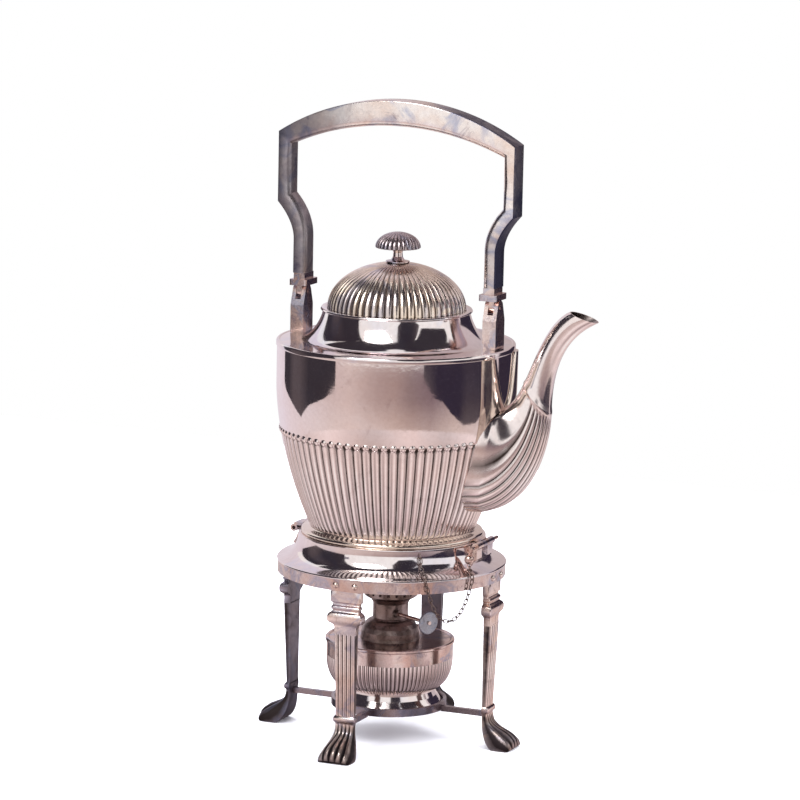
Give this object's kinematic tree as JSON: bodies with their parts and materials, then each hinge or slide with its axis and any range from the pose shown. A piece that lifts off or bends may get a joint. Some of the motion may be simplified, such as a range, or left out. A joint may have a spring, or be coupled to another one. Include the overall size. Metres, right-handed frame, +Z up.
{
  "type": "spirit kettle on stand",
  "caption": "Half-reeded metal spirit kettle with domed lid and swing bail handle, hinged to a four-legged burner stand with a lift-out spirit lamp.",
  "frame": {"origin": "centre of the stand at the plane under its four feet, on the axis of the shelf ring", "axes": "+Z up; +X the way the spout points; -Y the side where the hinge pin goes in"},
  "size_m": [0.2077, 0.168, 0.371],
  "materials": {
    "silver_plate": "polished silver plate, lightly tarnished",
    "worn_gilt_plate": "silver plate worn to a warm tone",
    "rose_tarnished_plate": "silver plate with rosy tarnish",
    "dark_tarnished_plate": "silver plate with dark tarnish",
    "burner_brass": "dark heat-stained brass",
    "cotton_wick": "woven cotton"
  },
  "bodies": {
    "stand": {"stand_ring": "silver_plate", "apron_band": "rose_tarnished_plate", "leg_spout": "rose_tarnished_plate", "leg_far": "rose_tarnished_plate", "leg_rear": "rose_tarnished_plate", "leg_near": "rose_tarnished_plate", "leg_rivets": "rose_tarnished_plate", "lamp_hoop": "dark_tarnished_plate", "bar_spout": "dark_tarnished_plate", "bar_far": "dark_tarnished_plate", "bar_rear": "dark_tarnished_plate", "bar_near": "dark_tarnished_plate", "lug_front": "silver_plate", "lug_rear": "silver_plate", "hinge_pin": "silver_plate", "chain_staple": "silver_plate", "pin_chain": "dark_tarnished_plate"},
    "kettle": {"kettle_body": "silver_plate", "kettle_shoulder": "silver_plate", "kettle_foot": "worn_gilt_plate", "kettle_base": "silver_plate", "spout": "silver_plate", "spout_horns": "worn_gilt_plate", "knuckle_front": "silver_plate", "knuckle_rear": "silver_plate", "post_front": "silver_plate", "post_rear": "silver_plate", "bail_pins": "silver_plate", "lid_hinge_lug": "silver_plate", "lid_hinge_pin": "silver_plate"},
    "lid": {"lid_dome": "silver_plate", "lid_flange": "silver_plate", "lid_hinge_leaf": "silver_plate", "finial_stem": "dark_tarnished_plate", "finial_cap": "dark_tarnished_plate", "finial_nut": "silver_plate"},
    "handle": {"bail": "dark_tarnished_plate", "ferrule_front": "dark_tarnished_plate", "ferrule_rear": "dark_tarnished_plate"},
    "lamp": {"lamp_bowl": "silver_plate", "lamp_foot": "silver_plate", "lamp_cover": "rose_tarnished_plate", "burner_neck": "burner_brass", "burner_gallery": "burner_brass", "wick_tube": "rose_tarnished_plate"},
    "winder": {"winder_shaft": "silver_plate", "winder_disc": "silver_plate", "winder_cog": "burner_brass"},
    "wick": {"wick": "cotton_wick"}
  },
  "joints": [
    {"name": "kettle_tilt", "type": "hinge", "parent": "stand", "child": "kettle", "pos_m": [0.0572, 0, 0.1191], "axis": [0, 1, 0], "range_deg": [0, 60]},
    {"name": "lid_hinge", "type": "hinge", "parent": "kettle", "child": "lid", "pos_m": [0, 0.0474, 0.2499], "axis": [-1, 0, 0], "range_deg": [0, 100]},
    {"name": "handle_swing", "type": "hinge", "parent": "kettle", "child": "handle", "pos_m": [0, 0, 0.25665], "axis": [1, 0, 0], "range_deg": [-66, 66]},
    {"name": "lamp_lift", "type": "slide", "parent": "stand", "child": "lamp", "axis": [0, 0, 1], "range_m": [0, 0.02]},
    {"name": "winder_turn", "type": "hinge", "parent": "lamp", "child": "winder", "pos_m": [-0.00172, -0.00339, 0.07385], "axis": [0.891, -0.454, 0], "range_deg": [-60, 90]},
    {"name": "wick_rise", "type": "slide", "parent": "lamp", "child": "wick", "axis": [0, 0, 1], "range_m": [-0.00273, 0.00409]}
  ],
  "couplings": [
    {"joint": "wick_rise", "follows": "winder_turn", "m_per_rad": 0.0026}
  ]
}
